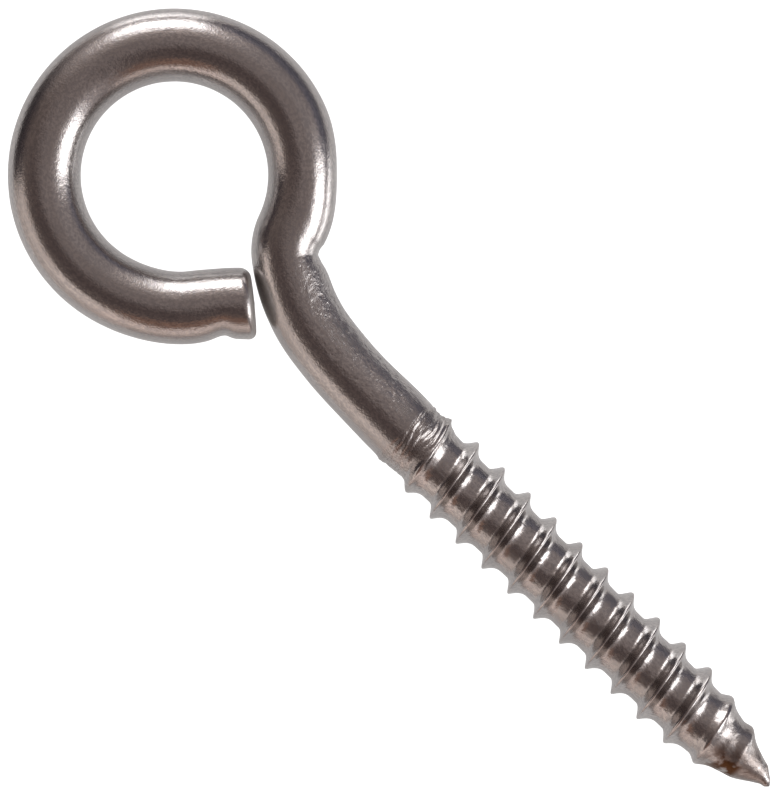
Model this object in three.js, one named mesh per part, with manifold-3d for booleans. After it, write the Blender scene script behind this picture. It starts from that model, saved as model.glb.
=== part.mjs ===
// A lag-thread screw eye: one length of round stainless wire, bent into an almost closed eye at one
// end and rolled with a coarse wood-screw thread and a point at the other.
//
// It lies flat. The thread's axis runs along +X towards the point, the eye lies in the XY plane and
// +Z is square to the eye. The origin is under the middle of the bounding box, on the resting plane.
import * as THREE from "three";
import { mergeVertices } from "three/addons/utils/BufferGeometryUtils.js";
import Module from "manifold-3d";

const wasm = await Module();
wasm.setup();

// Driving dimensions, in millimetres and degrees.
const WIRE_RADIUS = 6.35 / 2;
const EYE_RADIUS = 11.32; // of the eye's centreline, so the hole is 16.3 across
const EYE_TURN = 303;
const TAIL = { length: 5.2, turn: -14 }; // the end of the wire, straighter than the eye
const TAIL_SLANT = 12; // how far the cut end leans, so that it clears the neck
const SHANK = { length: 9.67, turn: -9 };
const NECK = { length: 7.85, turn: -30 };
const CREASE = { length: 2.35, turn: -32 }; // the sharp reverse bend where the neck meets the eye
const THREAD_LENGTH = 45.4; // from the shank's end to the point
const THREAD_PITCH = 3.13;
const CREST_RADIUS = 3.83;
const ROOT_RADIUS = 2.92;
const POINT_LENGTH = 8.4; // of the tapered end
const POINT_RADIUS = 0.3; // of the blunt tip
const SHOULDER_LENGTH = 3.2; // where the wire's surface comes down to the thread's root

// Shape of the thread's ridge.
const CREST_WIDTH = 0.26;
const RIDGE_WIDTH = 1.5; // at the root
const RIDGE_BURIED = 0.35; // how far the ridge reaches into the core
const FIRST_CREST = 6.44; // where a full crest crosses the +Y side
const RUN_IN = 2.9; // how far before that the ridge starts, under the surface
const RUN_IN_LENGTH = 2.4;
const RUN_OUT = 1.6; // how far before the point's end the ridge stops
const RUN_OUT_DROP = 0.35; // how far the ridge has sunk into the point there

// Fineness of the mesh.
const SIDES = 16;
const WIRE_STEP = 1.5;
const STEPS_PER_TURN = 16;

const STEEL = new THREE.MeshStandardMaterial({ color: 0x8f8681, roughness: 0.28, metalness: 1 });

const radians = THREE.MathUtils.degToRad;

// A flat curve of stretches that follow each other smoothly, each of one length that turns by one
// angle, to the left if it is positive. It starts at a point on the X axis and heads along -X.
class BentWire extends THREE.Curve {
  constructor(startX, stretches) {
    super();
    this.startX = startX;
    this.stretches = stretches;
    this.total = stretches.reduce((sum, stretch) => sum + stretch.length, 0);
  }

  getPoint(t, target = new THREE.Vector3()) {
    let left = t * this.total;
    let heading = Math.PI;
    target.set(this.startX, 0, 0);
    for (const { length, turn } of this.stretches) {
      const along = Math.min(left, length);
      const turned = (radians(turn) * along) / length;
      // The chord of an arc points half way between its two headings.
      const chord = turned ? (along * Math.sin(turned / 2)) / (turned / 2) : along;
      target.x += chord * Math.cos(heading + turned / 2);
      target.y += chord * Math.sin(heading + turned / 2);
      heading += turned;
      left -= along;
      if (left <= 0) break;
    }
    return target;
  }

  // Level frames, of which the last one leans, because the wire is cut on a slant.
  computeFrenetFrames(steps) {
    const up = new THREE.Vector3(0, 0, 1);
    const tangents = Array.from({ length: steps + 1 }, (_, i) => this.getTangentAt(i / steps));
    const normals = tangents.map((tangent) => tangent.clone().cross(up));
    normals[steps].applyAxisAngle(up, radians(TAIL_SLANT));
    return { tangents, normals, binormals: normals.map(() => up.clone().negate()) };
  }
}

// The core's radius at x: a cone from the wire down to the thread's root, then a bar, then the
// point, which is a little fuller than a straight cone.
function coreRadius(x) {
  if (x < SHOULDER_LENGTH) {
    return THREE.MathUtils.lerp(WIRE_RADIUS - 0.02, ROOT_RADIUS, x / SHOULDER_LENGTH);
  }
  const taper = (x - (THREAD_LENGTH - POINT_LENGTH)) / POINT_LENGTH;
  if (taper <= 0) return ROOT_RADIUS;
  return THREE.MathUtils.lerp(ROOT_RADIUS, POINT_RADIUS, taper ** 1.25);
}

// A right-hand helix about the X axis, which follows the core: it starts under the surface, rises to
// the full height of the thread, and comes down with the point.
class ThreadHelix extends THREE.Curve {
  constructor() {
    super();
    this.startX = FIRST_CREST - RUN_IN;
    this.endX = THREAD_LENGTH - RUN_OUT;
    this.turns = (this.endX - this.startX) / THREAD_PITCH;
  }

  angleAt(t) {
    return 2 * Math.PI * (this.turns * t - RUN_IN / THREAD_PITCH);
  }

  // The radius of the ridge's foot, which is the core's own radius where the thread is full.
  getPoint(t, target = new THREE.Vector3()) {
    const x = THREE.MathUtils.lerp(this.startX, this.endX, t);
    const sunk = 1 - THREE.MathUtils.smoothstep(x - this.startX, 0, RUN_IN_LENGTH);
    const ended = THREE.MathUtils.smoothstep(x, THREAD_LENGTH - POINT_LENGTH, this.endX);
    const radius = coreRadius(x) - (CREST_RADIUS - ROOT_RADIUS) * sunk - RUN_OUT_DROP * ended;
    const angle = this.angleAt(t);
    return target.set(x, radius * Math.cos(angle), radius * Math.sin(angle));
  }

  // Frames that keep the ridge upright on the core: the normal points out from the axis, and the
  // binormal along it.
  computeFrenetFrames(steps) {
    const frames = { tangents: [], normals: [], binormals: [] };
    for (let i = 0; i <= steps; i += 1) {
      const angle = this.angleAt(i / steps);
      frames.tangents.push(this.getTangent(i / steps));
      frames.normals.push(new THREE.Vector3(0, Math.cos(angle), Math.sin(angle)));
      frames.binormals.push(new THREE.Vector3(-1, 0, 0));
    }
    return frames;
  }

  // Even steps in x, so that the frames belong to the points.
  getPointAt(u, target) {
    return this.getPoint(u, target);
  }

  getSpacedPoints(divisions) {
    return Array.from({ length: divisions + 1 }, (_, i) => this.getPoint(i / divisions));
  }
}

// A closed geometry as a manifold-3d solid.
function toSolid(geometry) {
  geometry.deleteAttribute("normal");
  geometry.deleteAttribute("uv");
  const merged = mergeVertices(geometry, 1e-4);
  return new wasm.Manifold(
    new wasm.Mesh({
      numProp: 3,
      vertProperties: merged.attributes.position.array,
      triVerts: new Uint32Array(merged.index.array),
    }),
  );
}

// A manifold-3d solid as a geometry.
function toGeometry(solid) {
  const mesh = solid.getMesh();
  const geometry = new THREE.BufferGeometry()
    .setAttribute("position", new THREE.BufferAttribute(mesh.vertProperties, 3))
    .setIndex(new THREE.BufferAttribute(mesh.triVerts, 1));
  geometry.computeVertexNormals();
  return geometry;
}

// The plain wire: shank, neck, eye and tail.
function makeWire() {
  const overlap = 0.6; // how far the wire reaches into the threaded core
  const eye = { length: EYE_RADIUS * radians(EYE_TURN), turn: EYE_TURN };
  const path = new BentWire(overlap, [
    { length: overlap, turn: 0 },
    SHANK,
    NECK,
    CREASE,
    eye,
    TAIL,
  ]);
  const section = new THREE.Shape().absarc(0, 0, WIRE_RADIUS, 0, 2 * Math.PI);
  return new THREE.ExtrudeGeometry(section, {
    extrudePath: path,
    steps: Math.round(path.total / WIRE_STEP),
    curveSegments: SIDES,
  });
}

// The bar under the thread, with its point.
function makeCore() {
  const inside = 1.2; // how far the core reaches back into the wire
  const pointSteps = 8;
  const stations = [0, SHOULDER_LENGTH];
  for (let i = 0; i <= pointSteps; i += 1) {
    stations.push(THREAD_LENGTH - POINT_LENGTH + (POINT_LENGTH * i) / pointSteps);
  }
  const profile = [
    new THREE.Vector2(0, -inside),
    new THREE.Vector2(WIRE_RADIUS - 0.3, -inside),
    ...stations.map((x) => new THREE.Vector2(coreRadius(x), x)),
    new THREE.Vector2(0, THREAD_LENGTH),
  ];
  // A lathe turns about Y, so the bar is laid along X.
  return new THREE.LatheGeometry(profile, SIDES).rotateZ(-Math.PI / 2);
}

// The thread's ridge, a blunt wedge wound round the core.
function makeRidge() {
  const height = CREST_RADIUS - ROOT_RADIUS;
  const slope = (RIDGE_WIDTH - CREST_WIDTH) / 2 / height;
  const foot = RIDGE_WIDTH / 2 + slope * RIDGE_BURIED;
  const section = new THREE.Shape([
    new THREE.Vector2(-RIDGE_BURIED, -foot),
    new THREE.Vector2(height, -CREST_WIDTH / 2),
    new THREE.Vector2(height, CREST_WIDTH / 2),
    new THREE.Vector2(-RIDGE_BURIED, foot),
  ]);
  const helix = new ThreadHelix();
  return new THREE.ExtrudeGeometry(section, {
    extrudePath: helix,
    steps: Math.round(helix.turns * STEPS_PER_TURN),
  });
}

const solid = [makeCore(), makeRidge()].reduce(
  (joined, geometry) => joined.add(toSolid(geometry)),
  toSolid(makeWire()),
);

const screwEye = new THREE.Mesh(toGeometry(solid), STEEL);
screwEye.name = "screw_eye";

const box = new THREE.Box3().setFromObject(screwEye);
const middle = box.getCenter(new THREE.Vector3());
screwEye.position.set(-middle.x, -middle.y, -box.min.z);

const part = new THREE.Group();
part.add(screwEye);

export default part;
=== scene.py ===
"""The looks of a lag-thread screw eye, bent from bright stainless wire and rolled with a wood thread.

The whole wire is one fine mesh. It is made in the wire's own coordinates: a distance along the wire,
an angle round it and a radius, in millimetres. The thread runs along +X to the point, and the eye
lies flat.
"""
import math

import bpy
import numpy as np
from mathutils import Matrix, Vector


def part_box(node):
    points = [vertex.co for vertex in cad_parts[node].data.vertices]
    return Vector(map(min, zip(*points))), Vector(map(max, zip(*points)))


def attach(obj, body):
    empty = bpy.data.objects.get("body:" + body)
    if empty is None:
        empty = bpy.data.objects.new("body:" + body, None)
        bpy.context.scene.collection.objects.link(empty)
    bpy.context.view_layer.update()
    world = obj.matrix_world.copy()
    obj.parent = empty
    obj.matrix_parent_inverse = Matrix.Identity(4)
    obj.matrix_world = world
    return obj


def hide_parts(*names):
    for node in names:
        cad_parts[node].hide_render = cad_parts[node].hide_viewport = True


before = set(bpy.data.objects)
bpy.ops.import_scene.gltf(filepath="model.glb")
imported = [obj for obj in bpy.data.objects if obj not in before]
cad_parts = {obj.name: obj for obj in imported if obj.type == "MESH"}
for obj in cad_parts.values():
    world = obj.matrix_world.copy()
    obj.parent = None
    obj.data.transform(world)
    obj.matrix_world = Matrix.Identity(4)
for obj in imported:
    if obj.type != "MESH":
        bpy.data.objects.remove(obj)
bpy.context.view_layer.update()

MM = 0.001
TURN = 2 * math.pi

# The bent wire: stretches of (length, turn in degrees), from the thread's start to the tail.
WIRE_RADIUS = 6.35 / 2
EYE_RADIUS = 11.32
EYE_TURN = 303
SHANK = (9.67, -9)
NECK = (7.85, -30)
CREASE = (2.35, -32)
EYE = (EYE_RADIUS * math.radians(EYE_TURN), EYE_TURN)
TAIL = (5.2, -14)
STRETCHES = (SHANK, NECK, CREASE, EYE, TAIL)
WIRE_LENGTH = sum(length for length, _ in STRETCHES)
EYE_START = SHANK[0] + NECK[0] + CREASE[0]
CREASE_AT = SHANK[0] + NECK[0] - 0.3
CUT_AT = WIRE_LENGTH + 0.17  # the middle of the cut end
CUT_SLANT = 0.2  # how much the cut end leans, in millimetres for each from its middle
CUT_ROUNDING = 0.78

# How far the wire strays sideways from its line.
SHANK_BOW = 0.19
TAIL_BOW = 0.28

# What its bending and cutting did to its surface: heights and depths, in millimetres.
SHANK_SWELL = 0.09  # thicker where the thread begins
TAIL_THINNING = 0.05
FLATTENED = 0.34  # where the eye begins
PINCH = 0.46  # at the crease
FOLD = 0.07  # the sharp line inside the pinch
CUTTER_DENT = 0.36  # beside the cut end

# The grip marks on one side of the shank and neck.
HANDLED_SIDE = math.radians(48)
DENT_COUNT = 230
DENT_STRETCH = (0.5, 17)
DENT_SPREAD = 0.36  # to both sides, in radians
DENT_SIZES = (0.16, 0.34)
DENT_DEPTHS = (-0.03, 0.06)

# The thread.
THREAD_LENGTH = 45.4
PITCH = 3.13
FIRST_CREST = 6.44  # where a full crest crosses the +Y side
CREST_RADIUS = 3.83
ROOT_RADIUS = 2.92
ROOT_HOLLOW = 0.05  # how much lower the root is at its lowest
POINT_LENGTH = 8.4
POINT_DROP = 0.47  # the share of its height that the ridge loses where the point begins
FLANK_WIDTH = 0.82
HOLLOW_WIDTH = 1.4  # of the side that faces the point, which runs out into the root
CREST_ROUNDING = 0.14
WRINKLE_HEIGHT = 0.055  # where the rolling starts
CRUMPLE_HEIGHT = 0.026

# Fineness of the mesh.
COLUMNS = 128
ROWS_PER_PITCH = 28
END_RINGS = 7
# Stretches of (lower end, spacing of the rings) of the bent wire, from the cut end to the thread.
RINGS = ((79, 0.16), (23, 0.42), (15.5, 0.13), (0, 0.19))

SEED = 11


def smooth(value, low, high):
    """0 below low, 1 above high, and a smooth step between them."""
    t = np.clip((value - low) / (high - low), 0, 1)
    return t * t * (3 - 2 * t)


def bump(value, middle, width):
    """A bell of height 1."""
    return np.exp(-(((value - middle) / width) ** 2))


def lopsided(value, middle, below, above):
    """A bell of height 1 with a different width on each side."""
    return bump(value, middle, np.where(value < middle, below, above))


def facing(angle, middle, sharpness):
    """1 where the wire's surface faces the angle middle, falling to 0 at the sides."""
    return np.clip(np.cos(angle - middle), 0, 1) ** sharpness


def waves(seed, along, angle, count, along_range, around_range):
    """An uneven texture of about unit height: a sum of waves, which closes round the wire."""
    random = np.random.default_rng(seed)
    total = np.zeros(np.broadcast(along, angle).shape)
    for _ in range(count):
        k = random.uniform(*along_range) * random.choice((-1, 1))
        n = random.integers(around_range[0], around_range[1] + 1)
        total += np.cos(k * along + n * angle + random.uniform(0, TURN))
    return total * math.sqrt(2 / count)


# ---------------------------------------------------------------- the wire's line


def line_point(distance):
    """x, y and heading at a distance up the bent wire from the thread's start."""
    x, y, heading, left = 0.0, 0.0, math.pi, distance
    for length, turn in STRETCHES:
        along = min(left, length)
        turned = math.radians(turn) * along / length
        chord = along * math.sin(turned / 2) / (turned / 2) if turned else along
        x += chord * math.cos(heading + turned / 2)
        y += chord * math.sin(heading + turned / 2)
        heading += turned
        left -= along
        if left <= 0:
            break
    return x, y, heading


LINE_DISTANCES = np.linspace(0, WIRE_LENGTH, 4000)
LINE_POINTS = np.array([line_point(d) for d in LINE_DISTANCES])


def bow(distance):
    """How far the wire strays sideways from its line, near the thread and near the tail."""
    return SHANK_BOW * bump(distance, 1, 4.2) + TAIL_BOW * bump(distance, WIRE_LENGTH - 4.9, 4)


def bent_positions(distance, angle, radius):
    """Points round the bent wire. Angle 0 faces the outside of the eye."""
    inside = np.clip(distance, 0, WIRE_LENGTH)
    x, y, heading = (np.interp(inside, LINE_DISTANCES, LINE_POINTS[:, i]) for i in range(3))
    beyond = distance - inside
    out = radius * np.cos(angle) + bow(distance)
    return np.stack(
        (
            x + beyond * np.cos(heading) + out * np.sin(heading),
            y + beyond * np.sin(heading) - out * np.cos(heading),
            radius * np.sin(angle),
        ),
        axis=-1,
    )


# ---------------------------------------------------------------- the surface's radius


def handled(distance):
    """Where the wire was gripped while it was bent."""
    return smooth(distance, -1.5, 0.5) * (1 - smooth(distance, 15.5, 18))


def grip_dents(distance, angle):
    """Small dents that the bending tool left on one side of the shank and neck."""
    random = np.random.default_rng(SEED)
    depth = np.zeros(distance.shape)
    for _ in range(DENT_COUNT):
        at = random.uniform(*DENT_STRETCH)
        side = HANDLED_SIDE + random.normal(0, DENT_SPREAD)
        size = random.uniform(*DENT_SIZES)
        around = WIRE_RADIUS * np.arctan2(np.sin(angle - side), np.cos(angle - side))
        reach = ((distance - at) / size) ** 2 + (around / (size * 0.8)) ** 2
        depth += random.uniform(*DENT_DEPTHS) * np.exp(-reach)
    return depth


def wire_radius(distance, angle):
    """The radius of the bent wire, with the marks of its bending and cutting."""
    outside = facing(angle, 0, 2)
    radius = WIRE_RADIUS - TAIL_THINNING * smooth(distance, CUT_AT - 6, CUT_AT - 3)
    radius = radius + SHANK_SWELL * (1 - smooth(distance, 0, 5))
    radius = radius - FLATTENED * bump(distance, EYE_START + 4.9, 3.2) * outside
    radius = radius - PINCH * lopsided(distance, CREASE_AT, 1.35, 2.3) * outside
    radius = radius - FOLD * bump(distance, CREASE_AT + 0.1, 0.22) * facing(angle, 0, 1.2)
    radius = radius - CUTTER_DENT * lopsided(distance, CUT_AT - 2.6, 1.25, 0.75) * outside
    radius = radius - grip_dents(distance, angle)
    return radius + 0.0022 * waves(SEED + 1, distance, angle, 50, (0.3, 3.4), (-6, 6))


def core_radius(x):
    """The radius between the threads: the rolled shoulder, the root and the point."""
    shank = WIRE_RADIUS + SHANK_SWELL
    shoulder = shank - (shank - ROOT_RADIUS) * smooth(x, 0.8, 5.0)
    taper = np.clip((x - (THREAD_LENGTH - POINT_LENGTH)) / POINT_LENGTH, 0, 1)
    point = shoulder * np.maximum(1 - taper**1.8, 0) ** 0.85
    hollow = ROOT_HOLLOW * smooth(x, 4, 7) * (1 - taper)
    return point - hollow + 0.12 * bump(x, THREAD_LENGTH - 0.3, 0.3)


def ridge_height(x):
    """The height of the thread's ridge where its crest is at x."""
    full = CREST_RADIUS - ROOT_RADIUS + ROOT_HOLLOW
    rise = smooth(x, 1.6, 6.2)
    to_point = 1 - POINT_DROP * smooth(x, 35.2, 38)
    run_out = 1 - smooth(x, 39.8, 43.2)
    return full * rise * to_point * run_out


def ridge(x, turns):
    """How high the ridge stands at x, at so many turns of the thread from its first crest.

    Its crest is rounded, most of all in its first turns.
    """
    from_crest = (turns - np.round(turns)) * PITCH
    rounding = CREST_ROUNDING * (1 + 0.9 * smooth(x, 30, 40) + 1.4 * (1 - smooth(x, 3, 7)))
    width = np.where(from_crest > 0, HOLLOW_WIDTH, FLANK_WIDTH)
    flank = np.clip((np.hypot(from_crest, rounding) - rounding) / width, 0, 1)
    profile = (1 - flank) ** np.where(from_crest > 0, 2.7, 1.7)
    return ridge_height(x - from_crest) * profile


def rolled(x, angle):
    """Where the wire is rough from the start of the rolling."""
    edge = 0.95 + 0.22 * waves(SEED + 2, 0 * x, angle, 6, (0, 1), (1, 7))
    return smooth(x, edge - 0.25, edge + 0.25) * (1 - smooth(x, 2.9, 5.6))


def wrinkled(x, angle, turns):
    """Fine uneven wrinkles that lie along the thread, where its rolling starts."""
    wrinkles = np.sin(turns * TURN * 5 + 1.3 * waves(SEED + 3, x, angle, 20, (0.5, 3), (-4, 4)))
    crumple = waves(SEED + 4, x, angle, 60, (5, 15), (-14, 14))
    rough = rolled(x, angle) * (WRINKLE_HEIGHT * wrinkles + CRUMPLE_HEIGHT * crumple)
    return rough * (1 - 0.75 * facing(angle, math.radians(180), 2))


def burrs(x, angle):
    """A burr where the rolling starts, a lump before the first crest, and a fin at the point."""
    burr = 0.12 * bump(x, 1.35, 0.35) * facing(angle, math.radians(185), 8)
    lump = 0.2 * bump(x, FIRST_CREST - PITCH, 0.42) * facing(angle, math.radians(-10), 3)
    fin = 0.11 * bump(x, 44.1, 0.35) * facing(angle, 0, 3)
    return burr + lump + fin


def thread_radius(x, angle):
    """The radius of the threaded part at x."""
    turns = (x - FIRST_CREST) / PITCH - angle / TURN
    core = core_radius(x)
    shape = core + ridge(x, turns) + wrinkled(x, angle, turns) + burrs(x, angle)
    uneven = 0.004 * waves(SEED + 5, x, angle, 50, (1.5, 5), (-6, 6))
    point_uneven = 0.03 * smooth(x, 41, 44) * waves(SEED + 6, x, angle, 20, (1, 4), (-3, 3))
    return np.maximum(shape + uneven + point_uneven * core / ROOT_RADIUS, 0.02)


def thread_positions(x, angle):
    """Points of the threaded part. Its very point sits a little to one side."""
    radius = thread_radius(x, angle)
    aside = 0.15 * smooth(x, 42.5, 44) * (1 - smooth(x, 44.6, THREAD_LENGTH)) + bow(-x)
    return np.stack((x, radius * np.cos(angle) + aside, radius * np.sin(angle)), axis=-1)


# ---------------------------------------------------------------- the mesh

ANGLES = np.linspace(0, TURN, COLUMNS + 1)


def end_face():
    """Rows of (distance, radius) from the middle of the cut end out to its rounded edge."""
    radius = wire_radius(np.full(ANGLES.shape, CUT_AT), ANGLES)
    rows = []
    for share in (0.02, 0.2, 0.4, 0.6, 0.8):
        inner = (radius - CUT_ROUNDING) * share
        rows.append((0.02 * waves(SEED + 7, inner, ANGLES, 20, (1, 6), (-3, 3)), inner))
    for i in range(END_RINGS + 1):
        turned = math.pi / 2 * i / END_RINGS
        back = -CUT_ROUNDING * (1 - math.cos(turned))
        rows.append((back, radius - CUT_ROUNDING * (1 - math.sin(turned))))
    return [(CUT_AT + back + CUT_SLANT * r * np.cos(ANGLES), r) for back, r in rows]


def bent_rows():
    """Rings of (distance, radius) from the cut end to the thread's start."""
    rows = end_face()
    last = CUT_AT - CUT_ROUNDING - 0.1
    start = last
    for stop, spacing in RINGS:
        count = round((start - stop) / spacing)
        for distance in np.linspace(start, stop, count, endpoint=False):
            # The rings lean near the end, as the cut does.
            lean = CUT_SLANT * WIRE_RADIUS * np.cos(ANGLES) * smooth(distance, CUT_AT - 4, last)
            rows.append((distance + lean, wire_radius(distance + lean, ANGLES)))
        start = stop
    return rows


def thread_rows():
    """Rows that follow the thread round, each held between the thread's start and the point.

    A row that leaves at the last column goes on one pitch further along at the first one.
    """
    steps = np.arange(-ROWS_PER_PITCH // 2, ROWS_PER_PITCH // 2) / (ROWS_PER_PITCH / 2)
    offsets = PITCH / 2 * np.sign(steps) * np.abs(steps) ** 1.5
    first = -math.ceil(FIRST_CREST / PITCH) - 1
    last = math.ceil((THREAD_LENGTH - FIRST_CREST) / PITCH)
    return [
        np.clip(FIRST_CREST + PITCH * (k + ANGLES / TURN) + offset, 0, THREAD_LENGTH)
        for k in range(first, last + 1)
        for offset in offsets
    ]


def wire_mesh():
    """The positions, quads and surface coordinates of the whole wire."""
    places, coordinates = [], []
    for distance, radius in bent_rows():
        places.append(bent_positions(distance, ANGLES, radius))
        coordinates.append(np.stack((-distance, ANGLES, radius), axis=-1))
    for x in thread_rows():
        places.append(thread_positions(x, ANGLES))
        coordinates.append(np.stack((x, ANGLES, thread_radius(x, ANGLES)), axis=-1))
    across = COLUMNS + 1
    start = np.arange(len(places) - 1)[:, None] * across + np.arange(COLUMNS)[None, :]
    quads = np.stack((start, start + 1, start + across + 1, start + across), axis=-1)
    return np.concatenate(places), quads.reshape(-1, 4), np.concatenate(coordinates)


def weld(positions, quads, coordinates):
    """Joins points at one place, and drops the faces that this leaves without an area."""
    keys = np.round(positions * 2e4).astype(np.int64)
    _, first, which = np.unique(keys, axis=0, return_index=True, return_inverse=True)
    which = which.reshape(-1)
    faces = []
    for quad in which[quads]:
        corners = [c for i, c in enumerate(quad) if c != quad[i - 1]]
        if len(set(corners)) == len(corners) and len(corners) > 2:
            faces.append(corners)
    return positions[first], faces, coordinates[first]


def open_ring(faces, positions, x_sign):
    """The corners of the open ring at one end of the wire, in order: the +X end or the -X end."""
    edges = [(face[i - 1], corner) for face in faces for i, corner in enumerate(face)]
    known = set(edges)
    after = {b: a for a, b in edges if (b, a) not in known}
    start = max(after, key=lambda v: x_sign * positions[v][0])
    ring = [start]
    while after[ring[-1]] != start:
        ring.append(after[ring[-1]])
    return ring


def part_shift():
    """From the wire's own place, with the thread's start at the origin, to the frame."""
    low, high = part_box("screw_eye")
    x, y, heading = line_point(EYE_START)
    eye_y = y + EYE_RADIUS * math.cos(heading)
    return np.array(
        (
            high.x / MM - THREAD_LENGTH,
            (low.y + high.y) / 2 / MM - eye_y,
            (low.z + high.z) / 2 / MM,
        )
    )


def add_float(mesh, name, values):
    """A number at each point of the mesh, for the material to read."""
    mesh.attributes.new(name, "FLOAT", "POINT").data.foreach_set("value", values.astype(np.float32))


def mark_surface(mesh, coordinates):
    """Tells the material where on the wire each point is, and what was done to it there."""
    along, angle, radius = coordinates.T
    straight = np.stack((np.cos(angle) * radius, np.sin(angle) * radius, along), axis=-1)
    wire_place = mesh.attributes.new("wire_place", "FLOAT_VECTOR", "POINT")
    wire_place.data.foreach_set("vector", straight.astype(np.float32).ravel())
    add_float(mesh, "rolled", np.where(along > 0, rolled(along, angle), 0))
    add_float(mesh, "handled", handled(-along) * facing(angle, HANDLED_SIDE, 2))
    add_float(mesh, "threaded", smooth(along, 2, 5))
    past_cut = -along - CUT_SLANT * radius * np.cos(angle) - CUT_AT
    add_float(mesh, "cut", smooth(past_cut, -0.45, -0.05))
    lower = smooth(-np.cos(angle), -0.5, 0.5)
    last_root = smooth(along, 38.6, 41) * (1 - smooth(along, 42.0, 42.9)) * (0.25 + 0.75 * lower)
    add_float(mesh, "stained", np.maximum(last_root, 0.4 * smooth(along, 41.5, 42.5)))
    add_float(mesh, "root", smooth(-radius, -3.35, -2.8) * smooth(along, 3, 5))


def make_wire(material):
    """The whole wire as one closed mesh in the frame."""
    positions, faces, coordinates = weld(*wire_mesh())
    faces = faces + [open_ring(faces, positions, 1), open_ring(faces, positions, -1)]
    mesh = bpy.data.meshes.new("screw_eye_wire")
    mesh.from_pydata((positions + part_shift()) * MM, [], faces)
    mesh.polygons.foreach_set("use_smooth", [True] * len(mesh.polygons))
    mark_surface(mesh, coordinates)
    mesh.materials.append(material)
    wire = bpy.data.objects.new("screw_eye_wire", mesh)
    bpy.context.scene.collection.objects.link(wire)
    return wire


# ---------------------------------------------------------------- materials


class Nodes:
    """Short calls that add nodes to one material or world."""

    def __init__(self, owner):
        owner.use_nodes = True
        self.tree = owner.node_tree
        self.tree.nodes.clear()

    def add(self, kind, settings=None, **inputs):
        node = self.tree.nodes.new(kind)
        for name, value in (settings or {}).items():
            setattr(node, name, value)
        for name, value in inputs.items():
            self.put(node.inputs[name.replace("_", " ")], value)
        return node

    def put(self, socket, value):
        if isinstance(value, bpy.types.NodeSocket):
            self.tree.links.new(value, socket)
        else:
            socket.default_value = value

    def math(self, operation, *values):
        node = self.add("ShaderNodeMath", {"operation": operation})
        for socket, value in zip(node.inputs, values):
            self.put(socket, value)
        return node.outputs[0]

    def times(self, first, second):
        """The product of two values."""
        return self.math("MULTIPLY", first, second)

    def total(self, first, *others):
        """The sum of the values."""
        for value in others:
            first = self.math("ADD", first, value)
        return first

    def rest(self, value):
        """What is left of 1."""
        return self.math("SUBTRACT", 1.0, value)

    def step(self, value, low, high, to_low=0.0, to_high=1.0):
        """A smooth step of value from low to high."""
        settings = {"interpolation_type": "SMOOTHSTEP"}
        node = self.add("ShaderNodeMapRange", settings, Value=value, From_Min=low, From_Max=high)
        self.put(node.inputs["To Min"], to_low)
        self.put(node.inputs["To Max"], to_high)
        return node.outputs["Result"]

    def mix(self, share, first, second):
        node = self.add("ShaderNodeMix", {"data_type": "RGBA"})
        self.put(node.inputs[0], share)
        self.put(node.inputs[6], first)
        self.put(node.inputs[7], second)
        return node.outputs[2]

    def attribute(self, name, output="Fac"):
        return self.add("ShaderNodeAttribute", {"attribute_name": name}).outputs[output]

    def noise(self, vector, stretch, scale, detail=3.0):
        """Noise of so many lumps in a millimetre, stretched by the three numbers."""
        mapping = self.add("ShaderNodeMapping", Vector=vector, Scale=stretch)
        noise = self.add("ShaderNodeTexNoise", Vector=mapping.outputs[0], Scale=scale, Detail=detail)
        return noise.outputs["Fac"]


STEEL = (0.56, 0.525, 0.51, 1)
DULL_STEEL = (0.47, 0.435, 0.42, 1)
SPECKLED_STEEL = (0.42, 0.40, 0.40, 1)
DARK_GRIME = (0.20, 0.165, 0.15, 1)
BROWN_STAIN = (0.12, 0.055, 0.025, 1)
# The cut end's steel is painted lighter than the rest. This is painted light that lifts the shade the
# end face lies in.
CUT_STEEL_PAINTED_LIGHTER = (0.66, 0.64, 0.62, 1)
PIT_DENSITY = 1.7  # in a millimetre
RELIEF = 0.012 * MM  # the height of the relief where its pattern is 1


def steel_colour(n, place, fine, cloud, stain):
    """Mottled and speckled steel, with dirt at the start of the rolling, stain in the last root, and
    the cut end painted lighter to lift the shade it lies in.
    """
    colour = n.mix(n.step(cloud, 0.42, 0.66), STEEL, DULL_STEEL)
    speckle = n.step(n.noise(place, (1, 1, 0.7), 4.5, 4.0), 0.38, 0.62, 0.0, 0.85)
    colour = n.mix(speckle, colour, SPECKLED_STEEL)
    grime = n.times(n.step(fine, 0.50, 0.62), n.times(n.attribute("rolled"), 0.65))
    colour = n.mix(grime, colour, DARK_GRIME)
    colour = n.mix(stain, colour, BROWN_STAIN)
    # The cut end gets its lighter colour here. This is painted light on a face in shade.
    return n.mix(n.attribute("cut"), colour, CUT_STEEL_PAINTED_LIGHTER)


def steel_roughness(n, drawn, cloud, stain):
    """Smooth, and rougher in the roots and where the wire was drawn, handled, rolled or cut."""
    drawn_lines = n.times(n.step(drawn, 0.4, 0.7), n.rest(n.attribute("threaded")))
    return n.total(
        n.step(cloud, 0.35, 0.65, 0.13, 0.19),
        n.times(drawn_lines, 0.05),
        n.times(n.attribute("handled"), 0.08),
        n.times(n.attribute("rolled"), 0.06),
        n.times(stain, 0.18),
        n.times(n.attribute("cut"), 0.5),
        n.times(n.attribute("root"), 0.1),
    )


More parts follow.
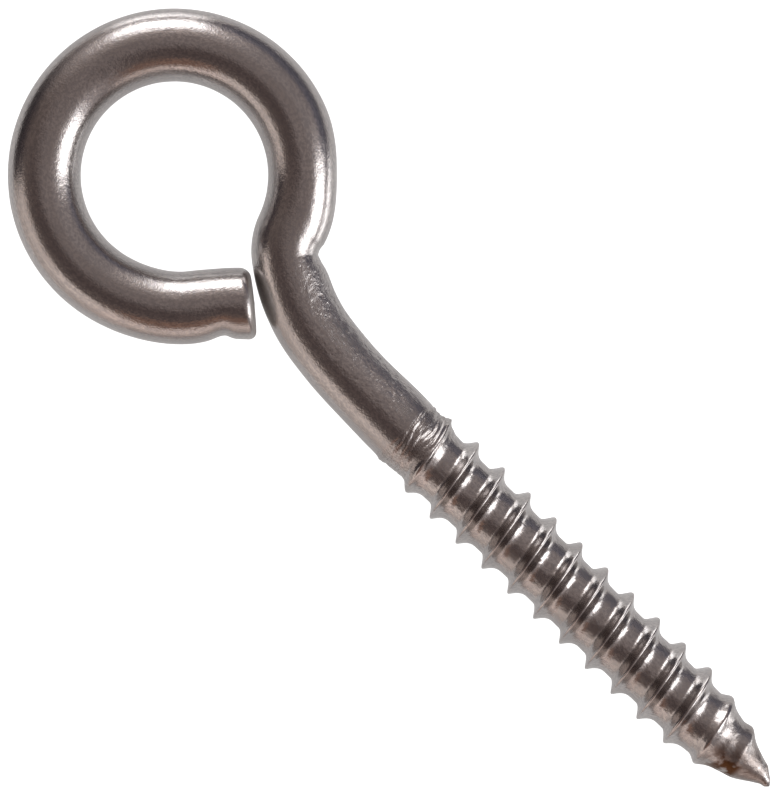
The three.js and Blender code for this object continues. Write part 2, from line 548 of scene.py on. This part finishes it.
def steel_relief(n, place, drawn, fine):
    """Drawing lines on the plain wire, faint waves everywhere, and pits where it was handled."""
    handled_part = n.attribute("handled")
    threaded = n.attribute("threaded")
    peel = n.noise(place, (1, 1, 0.8), 2.2, 2.0)
    pits = n.add("ShaderNodeTexVoronoi", Vector=place, Scale=PIT_DENSITY).outputs["Distance"]
    lumps = n.noise(place, (1, 1, 0.8), 3.2, 3.0)
    grip = n.total(n.times(n.step(pits, 0.08, 0.3), 1.8), n.times(lumps, 5.0))
    drawn_share = n.times(n.rest(threaded), 0.3)
    fine_share = n.math("SUBTRACT", n.total(1.3, n.attribute("rolled")), n.times(threaded, 0.9))
    fine_share = n.total(fine_share, n.times(handled_part, 1.6))
    height = n.total(
        n.times(drawn, drawn_share),
        n.times(peel, 1.3),
        n.times(fine, fine_share),
        n.times(grip, handled_part),
        n.times(peel, n.times(n.attribute("root"), 2.6)),
    )
    relief = n.add("ShaderNodeBump", Height=height, Distance=RELIEF, Strength=1.0)
    return relief.outputs[0]


def stainless_steel():
    """Bright drawn wire: fine lines along it, faint mottling, and dirt and stain in the thread."""
    material = bpy.data.materials.new("bright_stainless_wire")
    n = Nodes(material)
    place = n.attribute("wire_place", "Vector")
    drawn = n.noise(place, (1, 1, 0.03), 9.0)
    fine = n.noise(place, (1, 1, 1), 7.0, 4.0)
    cloud = n.noise(place, (1, 1, 0.4), 0.35, 4.0)
    patches = n.step(n.noise(place, (1, 1, 1), 0.9, 4.0), 0.34, 0.52)
    patches = n.times(patches, n.step(n.attribute("root"), 0.1, 0.9, 0.4, 1.0))
    stain = n.times(n.attribute("stained"), patches)

    shader = n.add("ShaderNodeBsdfPrincipled", Metallic=1.0)
    n.put(shader.inputs["Base Color"], steel_colour(n, place, fine, cloud, stain))
    n.put(shader.inputs["Roughness"], steel_roughness(n, drawn, cloud, stain))
    n.put(shader.inputs["Normal"], steel_relief(n, place, drawn, fine))
    output = n.add("ShaderNodeOutputMaterial")
    n.put(output.inputs["Surface"], shader.outputs[0])
    return material


FLOOR_GLOW = 0.5
GLOW_SEEN = 0.63  # what the camera sees of the glow besides
FLOOR_IOR = 1.45
MIRROR_UNSEEN = 0.85  # the share of the floor's gloss that the camera doesn't see


def pale_floor():
    """A white table, which shines a little of its own so that it holds no dark shadow.

    It is glossy at a low angle, mostly for what the steel reflects.
    """
    material = bpy.data.materials.new("pale_floor")
    n = Nodes(material)
    seen = n.add("ShaderNodeLightPath").outputs["Is Camera Ray"]
    white = n.add("ShaderNodeBsdfDiffuse", Color=(0.35, 0.35, 0.35, 1))
    glow = n.add("ShaderNodeEmission", Color=(1, 1, 1, 1))
    n.put(glow.inputs["Strength"], n.total(FLOOR_GLOW, n.times(seen, GLOW_SEEN)))
    both = n.add("ShaderNodeAddShader")
    n.put(both.inputs[0], white.outputs[0])
    n.put(both.inputs[1], glow.outputs[0])
    gloss = n.add("ShaderNodeBsdfGlossy", Color=(0.75, 0.75, 0.75, 1), Roughness=0.08)
    fresnel = n.add("ShaderNodeFresnel", IOR=FLOOR_IOR).outputs[0]
    mirrored = n.rest(n.times(seen, MIRROR_UNSEEN))
    mixed = n.add("ShaderNodeMixShader")
    n.put(mixed.inputs[0], n.times(n.step(fresnel, 0.06, 0.24), mirrored))
    n.put(mixed.inputs[1], both.outputs[0])
    n.put(mixed.inputs[2], gloss.outputs[0])
    output = n.add("ShaderNodeOutputMaterial")
    n.put(output.inputs["Surface"], mixed.outputs[0])
    return material


# ---------------------------------------------------------------- the studio

VIEW_ROLL = math.radians(44.12)  # how far the thread's direction turns down from the view's right
FLOOR_HALF = 3.0  # metres
VIEW_AIM = Vector((-2.716, -0.957, 3.83)) * MM
VIEW_HEIGHT = 69.6 * MM
LENS = 200
SENSOR = 36

# Panels round the table: name, bearing and half width, elevation of the lower and upper edge,
# softness of the edges, all in degrees, and colour. Bearing 0 is the view's right and 90 its top.
PANELS = (
    ("top_glow", 94, 37, 0, 54, 22, (0.75, 0.66, 0.63)),
    ("right_glow", -12, 40, 0, 54, 26, (0.62, 0.55, 0.54)),
    ("dark_ceiling", 228, 62, 46, 82, 12, (0.115, 0.087, 0.083)),
    ("grey_wall", 42, 28, 20, 64, 10, (0.32, 0.28, 0.275)),
    ("blue_wall", 42, 36, -20, 17, 8, (0.16, 0.155, 0.19)),
    ("beige_board", 214, 34, -20, 28, 3, (0.88, 0.77, 0.71)),
    ("bottom_board", 268, 34, -20, 16, 4, (1.00, 0.84, 0.77)),
    ("wood_board", 270, 26, 19, 40, 5, (0.28, 0.17, 0.13)),
    ("top_softbox", 98, 16, 8, 36, 2.5, (3.6, 3.6, 3.6)),
    ("right_softbox", -12, 17, 8, 42, 4, (3.6, 3.6, 3.6)),
)
OVERHEAD = (0.29, 0.245, 0.235, 1)
MIDDLE_WALL = (0.165, 0.13, 0.12, 1)
LOW_WALL = (0.055, 0.045, 0.05, 1)
BACKGROUND = (0.86, 0.86, 0.86, 1)


def studio_world():
    """Soft light from all round, darkest low down, with the panels in front of it."""
    world = bpy.data.worlds.new("studio")
    bpy.context.scene.world = world
    n = Nodes(world)
    direction = n.add("ShaderNodeTexCoord").outputs["Generated"]
    parts = n.add("ShaderNodeSeparateXYZ", Vector=direction).outputs
    up = n.times(n.math("ARCSINE", parts["Z"]), 180 / math.pi)
    bearing = n.times(n.math("ARCTAN2", parts["Y"], parts["X"]), 180 / math.pi)
    bearing = n.math("SUBTRACT", bearing, math.degrees(VIEW_ROLL))
    colour = n.mix(n.step(up, 8, 30), LOW_WALL, MIDDLE_WALL)
    colour = n.mix(n.step(up, 45, 85), colour, OVERHEAD)
    for _, middle, half, low, high, soft, panel in PANELS:
        turned = n.math("SUBTRACT", bearing, middle)
        away = n.math("ABSOLUTE", n.math("WRAP", turned, 180.0, -180.0))
        inside = n.step(away, half - soft, half + soft, 1.0, 0.0)
        above = n.step(up, low - soft, low + soft)
        below = n.step(up, high - soft, high + soft, 1.0, 0.0)
        share = n.times(inside, n.times(above, below))
        colour = n.mix(share, colour, (*panel, 1))
    seen = n.add("ShaderNodeLightPath").outputs["Is Camera Ray"]
    colour = n.mix(seen, colour, BACKGROUND)
    background = n.add("ShaderNodeBackground", Color=colour)
    output = n.add("ShaderNodeOutputWorld")
    n.put(output.inputs["Surface"], background.outputs[0])


def make_floor():
    """A square table under the object."""
    mesh = bpy.data.meshes.new("floor")
    corners = [(FLOOR_HALF * x, FLOOR_HALF * y, 0) for x, y in ((-1, -1), (1, -1), (1, 1), (-1, 1))]
    mesh.from_pydata(corners, [], [(0, 1, 2, 3)])
    mesh.materials.append(pale_floor())
    floor = bpy.data.objects.new("floor", mesh)
    bpy.context.scene.collection.objects.link(floor)


def make_camera():
    """Straight above the object, looking down."""
    data = bpy.data.cameras.new("camera")
    data.lens = LENS
    data.sensor_width = SENSOR
    data.clip_start = 0.01
    camera = bpy.data.objects.new("camera", data)
    camera.location = VIEW_AIM + Vector((0, 0, VIEW_HEIGHT * LENS / SENSOR))
    camera.rotation_euler = (0, 0, VIEW_ROLL)
    bpy.context.scene.collection.objects.link(camera)
    bpy.context.scene.camera = camera


bpy.context.scene.view_settings.view_transform = "Standard"
make_camera()
studio_world()
make_floor()
wire = make_wire(stainless_steel())
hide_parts("screw_eye")
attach(wire, "root")
